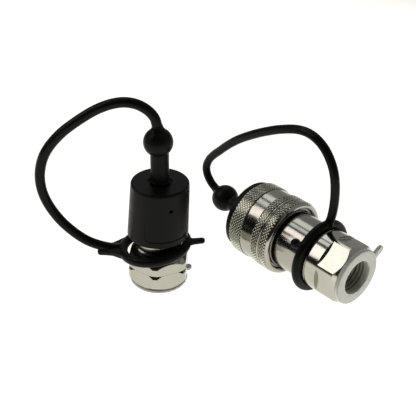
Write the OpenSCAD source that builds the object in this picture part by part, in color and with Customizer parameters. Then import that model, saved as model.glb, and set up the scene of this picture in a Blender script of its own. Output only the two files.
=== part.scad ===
// Poppet-type quick disconnect coupler, half-inch size, as a pair of uncoupled halves.
// The female half lies on its release sleeve, with its axis along X. The male half stands
// on its port plug, with its axis on Z. Both ends of both halves are closed: a rubber dust
// plug or cap on a lanyard at the coupling end, and a push-in plug in each threaded port.
// Stations on the female half are counted from the front of the release sleeve, and those
// on the male half from the surface that it stands on.

/* [Layout] */
// Distance along X from the male half's axis to the front of the release sleeve
female_x = 11.5; // [8:0.5:20]
// Distance along Y between the axes of the two halves
female_y = 53; // [50:0.5:70]
// Turn of the male half's lanyard about its axis
lanyard_turn = 47; // [40:1:60]

/* [Coupling] */
// Diameter of the male nose
nose_d = 20.5; // [20.3:0.1:20.7]
// Gap all round between the nose and the socket
nose_gap = 0.05; // [0.03:0.01:0.1]
// Depth of the socket from the front of the sleeve
socket_depth = 25.5; // [25:0.1:26]
// Diameter of a locking ball
ball_d = 4.76; // [4.5:0.02:4.8]
// Distance of the locking balls from the front of the sleeve
ball_s = 10.9; // [10.7:0.1:11]
// How far the balls stand into the socket when locked
ball_bite = 1.21; // [1:0.01:1.3]
// How far the sleeve slides back to release the balls
sleeve_travel = 5; // [4.6:0.1:5]
// How far the balls move out for each millimetre of sleeve travel
ball_ratio = 0.25; // [0.24:0.01:0.26]

/* [Female half] */
// Outside diameter of the release sleeve
sleeve_d = 38; // [37:0.5:40]
// Length of the release sleeve
sleeve_l = 26.2; // [25.5:0.1:27]
// Diameter of the valve body behind the sleeve
body_d = 29; // [28.8:0.1:29.4]
// Length from the front of the sleeve to the port end of the adapter
female_l = 63.7; // [63:0.1:65]
// Diameter of the bar that the adapters are turned from
bar_d = 30; // [29.6:0.1:31]
// Width across the flats of both hexagons
hex_af = 27; // [26.5:0.1:28]
// How far the female poppet opens
female_lift = 4; // [3:0.5:4.5]

/* [Male half] */
// Height of the joint between the adapter and the nipple
male_joint_z = 10.4; // [10.2:0.1:11]
// Height of the nipple's hexagon shoulder
male_shoulder_z = 16; // [15.8:0.1:16.2]
// Height of the tip of the nose
male_tip_z = 49; // [48.8:0.1:49.2]
// How far the male poppet opens
male_lift = 4; // [3:0.5:4.5]

/* [Ports] */
// Minor radius of the port thread, G 1/2
thread_r = 9.3; // [9.2:0.05:9.4]
// Radius of the smooth lead-in ahead of the thread
lead_in_r = 10.6; // [10.5:0.05:10.8]
// Length of the lead-in
lead_in_l = 7; // [6.9:0.1:7.5]
// Thickness of a port plug's flange
plug_flange_t = 2; // [1.8:0.1:2.2]
// Diameter of a port plug's flange
plug_flange_d = 27.6; // [26:0.2:28]

/* [Dust covers and lanyards] */
// Diameter of the dust cap at its mouth
cap_d = 28.5; // [27.6:0.1:29]
// Diameter of the dust cap at its top
cap_top_d = 26.7; // [26:0.1:27]
// Diameter of the dust plug's flange
dust_plug_d = 35.2; // [34:0.2:36.4]
// Diameter of the ball on the end of each lanyard
lanyard_ball_d = 13.4; // [12:0.2:14]
// Diameter of the stem below that ball
lanyard_stem_d = 8.4; // [8:0.1:8.6]
// Diameter of the male half's strap
cap_strap_d = 4.6; // [4.2:0.1:5]
// Diameter of the female half's strap
plug_strap_d = 4.2; // [4:0.1:4.6]

/* [Hidden] */
$fn = 96;

zinc = [0.80, 0.79, 0.72];
spring_steel = [0.62, 0.64, 0.66];
seal_black = [0.08, 0.08, 0.09];
soft_black = [0.10, 0.10, 0.11];
milky = [0.86, 0.86, 0.82, 0.8];
ptfe_white = [0.92, 0.92, 0.90];

axis_z = sleeve_d / 2;
hex_apothem = hex_af / 2;
hex_r = hex_apothem / cos(30);
bar_r = bar_d / 2;
body_r = body_d / 2;
nose_r = nose_d / 2;
socket_r = nose_r + nose_gap;

// Socket body
front_s = 0.3;                  // front face
neck_r = 13.8;                  // outside under the sleeve
mouth_chamfer = 1;
gland_s = 18.8;                 // seal groove
gland_l = 3.6;
gland_r = 12.4;
relief_r = 10.9;                // socket behind the seal
relief_s = 13.35;               // dirt groove between the balls and the seal
relief_w = 0.6;
relief_depth = 0.4;
female_seat_r = 7.4;
seat_s = socket_depth + 1.5;
cavity_r = 11;
guide_s = 38.7;                 // shoulder that the guide rests on
spigot_r = 12.2;                // adapter's spigot
spigot_s = 40.1;
body_end_s = 46;
shoulder_s = 25.1;              // step from the neck up to the body
ring_groove_s = 43;             // middle of the lanyard ring's groove
ring_groove_w = 4.4;
ring_groove_r = 13.75;
front_ring_s = 1.1;
front_ring_wire = 1.3;
front_ring_r = 13.95;
rear_ring_wire = 1.3;
rear_ring_s = shoulder_s - rear_ring_wire / 2 - 0.02;
rear_ring_r = neck_r + rear_ring_wire / 2 + 0.02;
washer_t = 0.8;
washer_s = rear_ring_s - rear_ring_wire / 2 - washer_t - 0.02;
washer_r = 16.1;

// Locking balls
ball_r = ball_d / 2;
ball_lock_r = socket_r - ball_bite + ball_r;
ball_hole_r = ball_r + 0.04;
ball_lip_r = ball_r - 0.18;
ball_lip_depth = 0.2;

// Release sleeve
sleeve_r = sleeve_d / 2;
land_r = neck_r + 0.07;
sleeve_recess_r = 15.4;
sleeve_lip_s = 1.8;
sleeve_lip_l = 1.2;
cone_r = ball_lock_r + (ball_r + 0.02) * sqrt(1 + ball_ratio * ball_ratio);
cone_start_s = ball_s - (sleeve_recess_r - cone_r) / ball_ratio;
cone_end_s = ball_s + (cone_r - land_r) / ball_ratio;
land_end_s = 13.5;
chamber_r = 16.4;
band_r = sleeve_r - 0.6;        // smooth band between the knurls
front_knurl_end = 7.8;
band_start = 8.6;
band_end = 14.9;
mid_knurl_start = 15.4;
mid_knurl_end = 18.9;
groove_s = 19.9;                // V-groove between the two rear knurls
groove_depth = 1;
rear_knurl_start = 20.9;
rear_knurl_end = 24.2;
rim_r = 17.7;

// Coil springs
sleeve_spring_r = 15.1;
sleeve_spring_wire = 1.1;
sleeve_spring_turns = 2.5;
valve_spring_r = 4.5;
valve_spring_wire = 0.9;
valve_spring_turns = 3;
spring_gap = 0.1;
spring_sides = 8;
spring_steps = 20;              // rings in each turn

// Female valve
female_tip_s = 18.9;
female_nose_r = 5;
female_head_r = 9.6;
female_head_s = 29.35;          // front of the poppet's parallel head
female_head_end = 32.3;
spring_pocket_r = 5.8;
spring_pocket_s = 30.8;
stem_r = 2.5;
stem_gap = 0.06;
female_stem_end_s = 41.4;
guide_t = 1.3;
guide_holes = 4;
guide_hole_r = 2.6;
seal_wire = 1.6;
seal_r = 8.4;                   // middle of the poppet's seal
seal_s = female_head_s - 0.19;
groove_gap = 0.05;
joint_seal_wire = 1.4;
joint_groove_w = 1.9;
joint_groove_depth = 1.45;

// Port thread and plug
port_s = female_l - lead_in_l;
thread_l = 14;
flow_r = 8.4;                   // bore behind the thread
adapter_step_s = 52.7;          // where the flats start
end_chamfer_l = 1.9;
end_chamfer_r = 13.3;
cup_r = 8;
cup_depth = 8;
cup_wall = 1.4;
cup_floor = 0.8;
cup_rib = 0.03;                 // gap between the plug's ribs and the lead-in
port_plug_gap = 0.02;
plug_tab_w = 3;
plug_tab_t = 1.6;
female_tab_r = 19;
male_tab_r = 17.6;

// Nipple and male adapter
male_end_z = plug_flange_t;      // port end of the male adapter
male_thread_top_z = 16.6;
hex_chamfer_l = 1.7;            // chamfer on top of the nipple's hexagon
male_spigot_r = 11.8;
male_spigot_gap = 0.05;
male_guide_z = male_thread_top_z + 0.05;
male_guide_t = 1.3;
male_guide_r = 9.7;
male_guide_hole_r = 2;
male_cavity_r = 7.4;
male_seat_r = 5.2;
male_seat_z = 46.9;
male_nose_r = 4.8;
neck_z = 20.5;                  // top of the flared shoulder
neck_top_r = 10.9;
nose_z = 24;
nose_chamfer = 1.6;
lock_groove_z = male_tip_z - 14.3;
lock_groove_half = 1.3;
lock_groove_depth = 1.2;
male_head_r = 6.9;
male_head_z = male_seat_z - (male_head_r - male_seat_r) - 0.15;
male_head_end_z = 43;
male_seal_r = 5.9;
male_seal_z = male_head_z + 0.4;
male_seal_wire = 1;
male_stem_r = 2.2;
male_stem_end_z = 17;
male_spring_r = 3.7;
male_spring_wire = 0.9;
male_spring_turns = 8;

// Dust cap and dust plug
cap_z = 25.4;
cap_top_z = 53.5;
cap_chamfer = 1.1;
cap_bore_r = 11.3;
cap_ceiling_z = 50.2;
cap_grip_r = nose_r + 0.08;
stem_hole_gap = 0.1;
toggle_head_r = 6;
toggle_head_t = 0.9;
cap_ball_z = 73.3;
plug_ball_s = -23.1;
dust_shank_r = socket_r - 0.03;
dust_shank_l = 7.4;
dust_bore_r = 7.6;
dust_flange_t = 3.2;
dust_ceiling_s = -3;
dust_neck_s = -10.4;
dust_neck_r = 5.6;

// Lanyard rings
plug_ring_r = 16.1;
plug_ring_wire = 4.6;
nub_r = 2.2;
nub_s = 38.4;
nub_angle = 37;                 // above the horizontal, on the -Y side
cap_ring_r = 15.3;
cap_ring_wire = 4.3;
cap_ring_x = -1.8;
cap_ring_z = 18.5;
cap_ring_tilt = 9.3;
cap_ring_pitch = 2.5;
web_t = 3;
tab_length = 23;
tab_w = 3;
tab_t = 2.2;

// Strap routes: [along X, height] for the plug's, [across, height] for the cap's
strap_sides = 10;
plug_strap_swing = 2.8;         // how far its last six points swing to the far side
plug_strap_route = [
    [-29.5, 21.5], [-33.5, 23.5], [-36.8, 27], [-37.8, 31.5], [-35.8, 36.5],
    [-32.3, 40.8], [-28.5, 44.5], [-25, 48], [-21.2, 51.5], [-17.3, 54.8],
    [-13.3, 57.8], [-9, 60.7], [-4.8, 63.4], [-0.5, 66], [4, 68.5], [8.7, 71],
    [13.5, 73.2], [18.4, 75.2], [23.4, 76.6], [28.5, 77], [33.3, 76], [37.8, 73.6],
    [41.4, 70], [44.2, 65.6], [45.9, 60.8], [46.6, 55.6], [46.6, 50.4],
    [46.1, 45.4], [45.1, 40.4], [43.6, 35.8]
];
cap_strap_route = [
    [-0.75, 80.2], [-2, 84.8], [-5, 88.4], [-9.5, 90.9], [-14.5, 91.7], [-19.6, 90.9],
    [-24.6, 89], [-29.3, 86.4], [-33.6, 83.4], [-37.8, 80.2], [-41.8, 76.8],
    [-45.4, 73], [-48.6, 68.9], [-51.2, 64.4], [-52.9, 59.5], [-53.8, 54.4],
    [-53.8, 49.2], [-52.9, 44.1], [-51.1, 39.1], [-48.6, 34.4], [-45.6, 30],
    [-42, 26], [-38, 22.4], [-33.6, 19.4], [-28.7, 17.4], [-23.5, 16.2], [-18, 15.9]
];

function unit(v) = v / norm(v);

function heading(path, i) = unit(path[min(i + 1, len(path) - 1)] - path[max(i - 1, 0)]);

// Points of one ring of a tube, round path[i], with side[i] square to the path.
function tube_ring(path, side, i, radius, sides) =
    let (across = cross(heading(path, i), side[i]))
    [for (k = [0 : sides - 1])
        path[i] + radius * (cos(360 * k / sides) * side[i] + sin(360 * k / sides) * across)];

module tube(path, side, radius, sides) {
    last = len(path) - 1;
    points = [for (i = [0 : last]) each tube_ring(path, side, i, radius, sides)];
    skin = [for (i = [0 : last - 1], k = [0 : sides - 1])
        let (a = i * sides + k, b = i * sides + (k + 1) % sides)
        each [[a, a + sides, b + sides], [a, b + sides, b]]];
    start = [for (k = [0 : sides - 1]) k];
    end = [for (k = [sides - 1 : -1 : 0]) last * sides + k];
    polyhedron(points, concat([start], skin, [end]));
}

// Coil spring standing on the XY plane.
module coil(mean_r, wire, length, turns) {
    steps = round(turns * spring_steps);
    rise = length - wire;
    path = [for (i = [0 : steps])
        let (a = 360 * turns * i / steps)
        [mean_r * cos(a), mean_r * sin(a), wire / 2 + rise * i / steps]];
    side = [for (i = [0 : steps]) let (a = 360 * turns * i / steps) [cos(a), sin(a), 0]];
    tube(path, side, wire / 2, spring_sides);
}

module turned(outline) {
    rotate_extrude() polygon(outline);
}

module round_ring(mean_r, wire) {
    rotate_extrude() translate([mean_r, 0]) circle(d = wire, $fn = 32);
}

module snap_ring(mean_r, wire, opening) {
    rotate(opening / 2) rotate_extrude(angle = 360 - opening)
        translate([mean_r, 0]) circle(d = wire, $fn = 32);
}

// Female half's own frame: Z along its axis from the sleeve's front towards the port.
module on_female() {
    translate([female_x, female_y, axis_z]) rotate([0, 90, 0]) children();
}

// Turned bar with six flats from z0 to z1.
module hex_cut(z0, z1, turn) {
    difference() {
        translate([0, 0, z0]) cylinder(r = 2 * bar_r, h = z1 - z0);
        translate([0, 0, z0 - 1]) rotate(turn) cylinder(r = hex_r, h = z1 - z0 + 2, $fn = 6);
    }
}

module socket_body() {
    color(zinc) on_female() difference() {
        turned([
            [socket_r + mouth_chamfer, front_s], [socket_r, front_s + mouth_chamfer],
            [socket_r, relief_s], [socket_r + relief_depth, relief_s],
            [socket_r + relief_depth, relief_s + relief_w], [socket_r, relief_s + relief_w],
            [socket_r, gland_s], [gland_r, gland_s],
            [gland_r, gland_s + gland_l], [relief_r, gland_s + gland_l],
            [relief_r, socket_depth], [female_seat_r, socket_depth],
            [female_seat_r, seat_s], [cavity_r, seat_s + cavity_r - female_seat_r],
            [cavity_r, guide_s], [spigot_r + 0.05, guide_s],
            [spigot_r + 0.05, body_end_s], [body_r - 0.4, body_end_s],
            [body_r, body_end_s - 0.4], [body_r, ring_groove_s + ring_groove_w / 2],
            [ring_groove_r, ring_groove_s + ring_groove_w / 2],
            [ring_groove_r, ring_groove_s - ring_groove_w / 2],
            [body_r, ring_groove_s - ring_groove_w / 2], [body_r, shoulder_s],
            [neck_r, shoulder_s], [neck_r, front_ring_s + front_ring_wire / 2 + 0.02],
            [front_ring_r - front_ring_wire / 2 - 0.02, front_ring_s + front_ring_wire / 2 + 0.02],
            [front_ring_r - front_ring_wire / 2 - 0.02, front_s]
        ]);
        for (i = [0 : 7])
            rotate(45 * i) translate([0, 0, ball_s]) rotate([0, 90, 0]) {
                cylinder(r = ball_lip_r, h = neck_r + 1);
                translate([0, 0, socket_r + ball_lip_depth])
                    cylinder(r = ball_hole_r, h = neck_r);
            }
    }
}

module female_adapter() {
    groove_end = body_end_s - 0.3;
    color(zinc) on_female() difference() {
        turned([
            [flow_r + 1.4, spigot_s], [flow_r, spigot_s + 1.4], [flow_r, port_s - thread_l],
            [thread_r, port_s - thread_l], [thread_r, port_s], [lead_in_r, port_s],
            [lead_in_r, female_l], [end_chamfer_r, female_l],
            [bar_r, female_l - end_chamfer_l], [bar_r, body_end_s + 0.5],
            [bar_r - 0.5, body_end_s + 0.02], [spigot_r, body_end_s + 0.02],
            [spigot_r, groove_end], [spigot_r - joint_groove_depth, groove_end],
            [spigot_r - joint_groove_depth, groove_end - joint_groove_w],
            [spigot_r, groove_end - joint_groove_w], [spigot_r, spigot_s]
        ]);
        hex_cut(adapter_step_s, female_l + 1, 10);
    }
}

module release_sleeve() {
    color(zinc) on_female() turned([
        [sleeve_recess_r, 0], [sleeve_recess_r, sleeve_lip_s], [land_r, sleeve_lip_s],
        [land_r, sleeve_lip_s + sleeve_lip_l], [sleeve_recess_r, sleeve_lip_s + sleeve_lip_l],
        [sleeve_recess_r, cone_start_s], [land_r, cone_end_s], [land_r, land_end_s],
        [chamber_r, land_end_s], [chamber_r, sleeve_l], [rim_r, sleeve_l],
        [sleeve_r, rear_knurl_end], [sleeve_r, rear_knurl_start],
        [sleeve_r - groove_depth, groove_s], [sleeve_r, mid_knurl_end],
        [sleeve_r, mid_knurl_start], [band_r, band_end], [band_r, band_start],
        [sleeve_r, front_knurl_end], [sleeve_r, 0.7], [sleeve_r - 0.8, 0]
    ]);
}

module sleeve_spring() {
    color(spring_steel) on_female()
        translate([0, 0, land_end_s + spring_gap])
            coil(sleeve_spring_r, sleeve_spring_wire,
                 washer_s - land_end_s - 2 * spring_gap, sleeve_spring_turns);
}

module spring_washer() {
    color(spring_steel) on_female() translate([0, 0, washer_s]) difference() {
        cylinder(r = washer_r, h = washer_t);
        translate([0, 0, -1]) cylinder(r = neck_r + 0.05, h = washer_t + 2);
    }
}

module front_snap_ring() {
    color(spring_steel) on_female() translate([0, 0, front_ring_s])
        snap_ring(front_ring_r, front_ring_wire, 24);
}

module rear_snap_ring() {
    color(spring_steel) on_female() translate([0, 0, rear_ring_s])
        rotate(150) snap_ring(rear_ring_r, rear_ring_wire, 20);
}

module ball(i) {
    color(spring_steel) on_female() rotate(45 * (i - 1))
        translate([ball_lock_r, 0, ball_s]) sphere(r = ball_r);
}

module nose_oring() {
    wire = 2.4;
    color(seal_black) on_female() translate([0, 0, gland_s + 0.3 + wire / 2])
        round_ring(gland_r - 0.03 - wire / 2, wire);
}

module backup_ring() {
    color(ptfe_white) on_female() translate([0, 0, gland_s + gland_l - 0.75]) difference() {
        cylinder(r = gland_r - 0.03, h = 0.7);
        translate([0, 0, -1]) cylinder(r = socket_r + 0.05, h = 3);
    }
}

module female_poppet() {
    cone_l = female_head_r - female_nose_r;
    color(zinc) on_female() difference() {
        turned([
            [0, female_tip_s], [female_nose_r - 1.5, female_tip_s],
            [female_nose_r, female_tip_s + 2.5], [female_nose_r, female_head_s - cone_l],
            [female_head_r, female_head_s], [female_head_r, female_head_end],
            [spring_pocket_r, female_head_end], [spring_pocket_r, spring_pocket_s],
            [stem_r, spring_pocket_s], [stem_r, female_stem_end_s], [0, female_stem_end_s]
        ]);
        translate([0, 0, seal_s]) round_ring(seal_r, seal_wire + 2 * groove_gap);
    }
}

module female_poppet_seal() {
    color(seal_black) on_female() translate([0, 0, seal_s]) round_ring(seal_r, seal_wire);
}

module female_valve_spring() {
    start = spring_pocket_s + spring_gap;
    color(spring_steel) on_female() translate([0, 0, start])
        coil(valve_spring_r, valve_spring_wire, guide_s - start, valve_spring_turns);
}

// Spoked disc that carries a poppet's stem.
module guide(outer_r, thickness, bore_r, hole_r, hole_pitch_r) {
    difference() {
        cylinder(r = outer_r, h = thickness);
        translate([0, 0, -1]) cylinder(r = bore_r, h = thickness + 2);
        for (i = [0 : guide_holes - 1])
            rotate(360 * i / guide_holes) translate([hole_pitch_r, 0, -1])
                cylinder(r = hole_r, h = thickness + 2);
    }
}

module female_guide() {
    color(zinc) on_female() translate([0, 0, guide_s + 0.03])
        guide(spigot_r, guide_t, stem_r + stem_gap, guide_hole_r, 7.4);
}

module female_joint_oring() {
    color(seal_black) on_female()
        translate([0, 0, body_end_s - 0.3 - joint_groove_w / 2])
            round_ring(spigot_r - joint_seal_wire / 2, joint_seal_wire);
}

// Push-in plug: a flange that closes the port's end, with an open cup that enters it.
module port_plug(tab_angle, tab_r) {
    flange_r = plug_flange_d / 2;
    shank_r = cup_r + cup_wall;
    rib_r = lead_in_r - cup_rib;
    deep = cup_depth + cup_floor - plug_flange_t;
    turned([
        [0, deep], [shank_r - 0.8, deep], [shank_r, deep - 0.8], [shank_r, 4.6],
        [rib_r, 4.2], [rib_r, 3.6], [shank_r, 3.2], [shank_r, 2.2],
        [rib_r, 1.8], [rib_r, 1.2], [shank_r, 0.8], [shank_r, -port_plug_gap],
        [flange_r, -port_plug_gap], [flange_r, 0.4 - plug_flange_t], [flange_r - 0.4, -plug_flange_t],
        [cup_r + 0.6, -plug_flange_t], [cup_r, 0.6 - plug_flange_t],
        [cup_r - 0.3, deep - cup_floor], [0, deep - cup_floor]
    ]);
    rotate(tab_angle) {
        translate([flange_r - 1, -plug_tab_w / 2, -plug_tab_t - 0.2])
            cube([tab_r - flange_r + 1 - plug_tab_w / 2, plug_tab_w, plug_tab_t]);
        translate([tab_r - plug_tab_w / 2, 0, -plug_tab_t - 0.2])
            cylinder(d = plug_tab_w, h = plug_tab_t);
    }
}

module female_port_plug() {
    color(milky) on_female() translate([0, 0, female_l]) mirror([0, 0, 1])
        port_plug(120, female_tab_r);
}

// Lanyard end: ball, stem and the flat head that holds it in the cover.
module toggle(head_at, ball_at) {
    stem = lanyard_stem_d / 2;
    union() {
        translate([0, 0, head_at]) cylinder(r = stem, h = ball_at - head_at);
        translate([0, 0, head_at]) cylinder(r = toggle_head_r, h = toggle_head_t);
        translate([0, 0, ball_at]) sphere(d = lanyard_ball_d);
    }
}

module plug_toggle() {
    head_at = -dust_ceiling_s - toggle_head_t - 0.1;
    color(soft_black) on_female() rotate([180, 0, 0]) toggle(head_at, -plug_ball_s);
}

module dust_plug() {
    flange_r = dust_plug_d / 2;
    hole_r = lanyard_stem_d / 2 + stem_hole_gap;
    color(soft_black) on_female() turned([
        [dust_bore_r, dust_shank_l], [dust_bore_r, dust_ceiling_s], [hole_r, dust_ceiling_s],
        [hole_r, dust_neck_s], [dust_neck_r, dust_neck_s], [dust_neck_r + 1.2, dust_neck_s + 1],
        [11.6, -7.2], [15, -5], [flange_r - 0.8, -dust_flange_t], [flange_r, 0.9 - dust_flange_t],
        [flange_r, -0.05], [dust_shank_r, -0.05], [dust_shank_r, 2.4],
        [dust_shank_r - 0.5, 2.7], [dust_shank_r - 0.5, 4.2], [dust_shank_r, 4.5],
        [dust_shank_r, 5.6], [dust_shank_r - 1.2, dust_shank_l]
    ]);
}

module plug_strap() {
    last = len(plug_strap_route) - 1;
    route = [for (i = [0 : last])
        let (p = plug_strap_route[i], swing = pow(max(0, i + 5 - last) / 5, 1.5))
        [female_x + p.x, female_y + plug_strap_swing * swing, p.y]];
    side = [for (p = plug_strap_route) [0, 1, 0]];
    color(soft_black) tube(route, side, plug_strap_d / 2, strap_sides);
}

module plug_ring() {
    color(soft_black) on_female() {
        translate([0, 0, ring_groove_s]) round_ring(plug_ring_r, plug_ring_wire);
        rotate(-90 - nub_angle) translate([plug_ring_r + 1.1, 0, nub_s]) {
            cylinder(r = nub_r, h = ring_groove_s - nub_s);
            sphere(r = nub_r);
        }
    }
}

module nipple() {
    color(zinc) difference() {
        turned([
            [male_spigot_r + male_spigot_gap, male_joint_z + 0.02],
            [male_spigot_r + male_spigot_gap, male_thread_top_z],
            [male_guide_r + 0.05, male_thread_top_z],
            [male_guide_r + 0.05, male_guide_z + male_guide_t + 0.05],
            [male_cavity_r, male_guide_z + male_guide_t + 0.05],
            [male_cavity_r, male_seat_z - (male_cavity_r - male_seat_r)],
            [male_seat_r, male_seat_z], [male_seat_r, male_tip_z],
            [nose_r - nose_chamfer * 0.6, male_tip_z], [nose_r, male_tip_z - nose_chamfer],
            [nose_r, lock_groove_z + lock_groove_half + lock_groove_depth],
            [nose_r - lock_groove_depth, lock_groove_z + lock_groove_half],
            [nose_r - lock_groove_depth, lock_groove_z - lock_groove_half],
            [nose_r, lock_groove_z - lock_groove_half - lock_groove_depth],
            [nose_r, nose_z], [nose_r + 0.2, nose_z - 0.4], [neck_top_r, neck_z],
            [11.6, neck_z - 1.9], [12.4, male_shoulder_z + 1], [13, male_shoulder_z + 0.2],
            [13.3, male_shoulder_z], [bar_r, male_shoulder_z - hex_chamfer_l],
            [bar_r, male_joint_z + 0.5], [bar_r - 0.9, male_joint_z + 0.02]
        ]);
        hex_cut(male_joint_z - 1, male_shoulder_z + 0.01, 14);
    }
}

module male_adapter() {
    top = male_joint_z + 0.9;
    color(zinc) difference() {
        turned([
            [lead_in_r, male_end_z], [lead_in_r, male_end_z + lead_in_l],
            [thread_r, male_end_z + lead_in_l], [thread_r, male_thread_top_z - 0.02],
            [male_spigot_r, male_thread_top_z - 0.02], [male_spigot_r, top + joint_groove_w],
            [male_spigot_r - joint_groove_depth, top + joint_groove_w],
            [male_spigot_r - joint_groove_depth, top],
            [male_spigot_r, top], [male_spigot_r, male_joint_z], [bar_r - 1, male_joint_z],
            [bar_r, male_joint_z - 1.5], [bar_r, male_end_z + 2.4],
            [bar_r - 0.9, male_end_z + 0.9], [end_chamfer_r, male_end_z]
        ]);
        hex_cut(male_end_z - 1, male_joint_z + 0.01, 14);
    }
}

module male_poppet() {
    color(zinc) difference() {
        turned([
            [0, male_tip_z - 0.1], [male_nose_r - 0.8, male_tip_z - 0.1],
            [male_nose_r, male_tip_z - 0.9],
            [male_nose_r, male_head_z + male_head_r - male_nose_r],
            [male_head_r, male_head_z], [male_head_r, male_head_end_z],
            [male_stem_r, male_head_end_z], [male_stem_r, male_stem_end_z],
            [0, male_stem_end_z]
        ]);
        translate([0, 0, male_seal_z]) round_ring(male_seal_r, male_seal_wire + 2 * groove_gap);
    }
}

module male_poppet_seal() {
    color(seal_black) translate([0, 0, male_seal_z]) round_ring(male_seal_r, male_seal_wire);
}

module male_valve_spring() {
    start = male_guide_z + male_guide_t + spring_gap;
    color(spring_steel) translate([0, 0, start])
        coil(male_spring_r, male_spring_wire,
             male_head_end_z - spring_gap - start, male_spring_turns);
}

module male_guide() {
    color(zinc) translate([0, 0, male_guide_z])
        guide(male_guide_r, male_guide_t, male_stem_r + stem_gap, male_guide_hole_r, 5.1);
}

module male_joint_oring() {
    color(seal_black) translate([0, 0, male_joint_z + 0.9 + joint_groove_w / 2])
        round_ring(male_spigot_r - joint_seal_wire / 2, joint_seal_wire);
}

module male_port_plug() {
    color(milky) translate([0, 0, male_end_z]) port_plug(76, male_tab_r);
}

module dust_cap() {
    hole_r = lanyard_stem_d / 2 + stem_hole_gap;
    color(soft_black) turned([
        [cap_bore_r, cap_z], [cap_bore_r, lock_groove_z - 1.2], [cap_grip_r, lock_groove_z - 0.4],
        [cap_grip_r, lock_groove_z + 0.4], [cap_bore_r, lock_groove_z + 1.2],
        [cap_bore_r, cap_ceiling_z], [hole_r, cap_ceiling_z],
        [hole_r, cap_top_z - 0.8], [hole_r + 1.2, cap_top_z - 0.8], [hole_r + 1.2, cap_top_z],
        [cap_top_d / 2 - cap_chamfer, cap_top_z], [cap_top_d / 2, cap_top_z - cap_chamfer],
        [cap_d / 2, cap_z + 0.5], [cap_d / 2 - 0.5, cap_z]
    ]);
}

module cap_toggle() {
    color(soft_black) toggle(cap_ceiling_z - toggle_head_t - 0.1, cap_ball_z);
}

module cap_strap() {
    route = [for (p = cap_strap_route) [p.x, 0, p.y]];
    side = [for (p = cap_strap_route) [0, 1, 0]];
    color(soft_black) rotate(lanyard_turn) tube(route, side, cap_strap_d / 2, strap_sides);
}

module cap_ring() {
    inner = cap_ring_r + cap_ring_wire / 2 - 1;
    color(soft_black) rotate(lanyard_turn) translate([cap_ring_x, 0, cap_ring_z])
        rotate([-cap_ring_pitch, -cap_ring_tilt, 0]) {
            round_ring(cap_ring_r, cap_ring_wire);
            translate([0, 0, -web_t / 2]) linear_extrude(web_t)
                polygon([
                    [-inner * cos(31), inner * sin(31)], [-17.6, 6], [-20.4, 4.2],
                    [-24.2, 3.1], [-24.2, -3.1], [-20.4, -4.2], [-17.6, -6],
                    [-inner * cos(31), -inner * sin(31)]
                ]);
            translate([inner, -tab_w / 2, -tab_t / 2])
                cube([tab_length - inner - tab_w / 2, tab_w, tab_t]);
            translate([tab_length - tab_w / 2, 0, -tab_t / 2]) cylinder(d = tab_w, h = tab_t);
        }
}

socket_body();
female_adapter();
release_sleeve();
sleeve_spring();
spring_washer();
front_snap_ring();
rear_snap_ring();
ball(1);  // ball_1
ball(2);  // ball_2
ball(3);  // ball_3
ball(4);  // ball_4
ball(5);  // ball_5
ball(6);  // ball_6
ball(7);  // ball_7
ball(8);  // ball_8
nose_oring();
backup_ring();
female_poppet();
female_poppet_seal();
female_valve_spring();
female_guide();
female_joint_oring();
female_port_plug();
dust_plug();
plug_toggle();
plug_strap();
plug_ring();
nipple();
male_adapter();
male_poppet();
male_poppet_seal();
male_valve_spring();
male_guide();
male_joint_oring();
male_port_plug();
dust_cap();
cap_toggle();
cap_strap();
cap_ring();
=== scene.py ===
"""Looks of the quick disconnect coupler: two uncoupled halves with their dust covers,
lanyards and port plugs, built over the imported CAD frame. Lengths are written in millimetres
and turned into metres as each mesh is made."""

import math

import bpy
import numpy as np
from mathutils import Matrix, Vector


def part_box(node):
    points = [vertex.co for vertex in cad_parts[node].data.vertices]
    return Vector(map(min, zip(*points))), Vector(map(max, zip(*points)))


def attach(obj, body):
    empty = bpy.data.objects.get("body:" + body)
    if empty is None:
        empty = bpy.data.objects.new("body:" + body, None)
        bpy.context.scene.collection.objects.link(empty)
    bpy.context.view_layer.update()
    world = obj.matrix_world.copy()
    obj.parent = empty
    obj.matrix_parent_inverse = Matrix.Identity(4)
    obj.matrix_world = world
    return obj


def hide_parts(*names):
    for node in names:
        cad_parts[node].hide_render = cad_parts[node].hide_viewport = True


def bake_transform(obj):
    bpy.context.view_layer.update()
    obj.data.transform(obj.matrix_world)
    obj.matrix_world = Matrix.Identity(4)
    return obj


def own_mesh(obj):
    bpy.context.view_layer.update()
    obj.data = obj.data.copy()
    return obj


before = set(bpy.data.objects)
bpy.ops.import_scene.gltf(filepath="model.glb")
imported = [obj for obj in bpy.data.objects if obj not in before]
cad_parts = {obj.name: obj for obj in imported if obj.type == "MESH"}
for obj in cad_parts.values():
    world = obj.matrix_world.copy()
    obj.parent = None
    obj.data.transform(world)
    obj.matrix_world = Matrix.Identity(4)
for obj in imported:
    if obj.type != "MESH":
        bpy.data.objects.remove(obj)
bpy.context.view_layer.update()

MM = 0.001
TAU = 2 * math.pi


# ---------------------------------------------------------------------------------------
# Places, read from the CAD frame
# ---------------------------------------------------------------------------------------

def cad(node):
    """Lowest and highest corners of a CAD node, in millimetres."""
    low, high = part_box(node)
    return np.array(low) / MM, np.array(high) / MM


SLEEVE_LOW, SLEEVE_HIGH = cad("release_sleeve")
FEMALE_X = SLEEVE_LOW[0]
FEMALE_Y = (SLEEVE_LOW[1] + SLEEVE_HIGH[1]) / 2
FEMALE_Z = (SLEEVE_LOW[2] + SLEEVE_HIGH[2]) / 2
LANYARD_TURN = math.radians(47)

# Local frames: z runs along each half's axis.
FEMALE = Matrix.Translation((FEMALE_X, FEMALE_Y, FEMALE_Z)) @ Matrix.Rotation(math.pi / 2, 4, "Y")
LANYARD = Matrix.Rotation(LANYARD_TURN, 4, "Z")


# ---------------------------------------------------------------------------------------
# Camera
# ---------------------------------------------------------------------------------------

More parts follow.
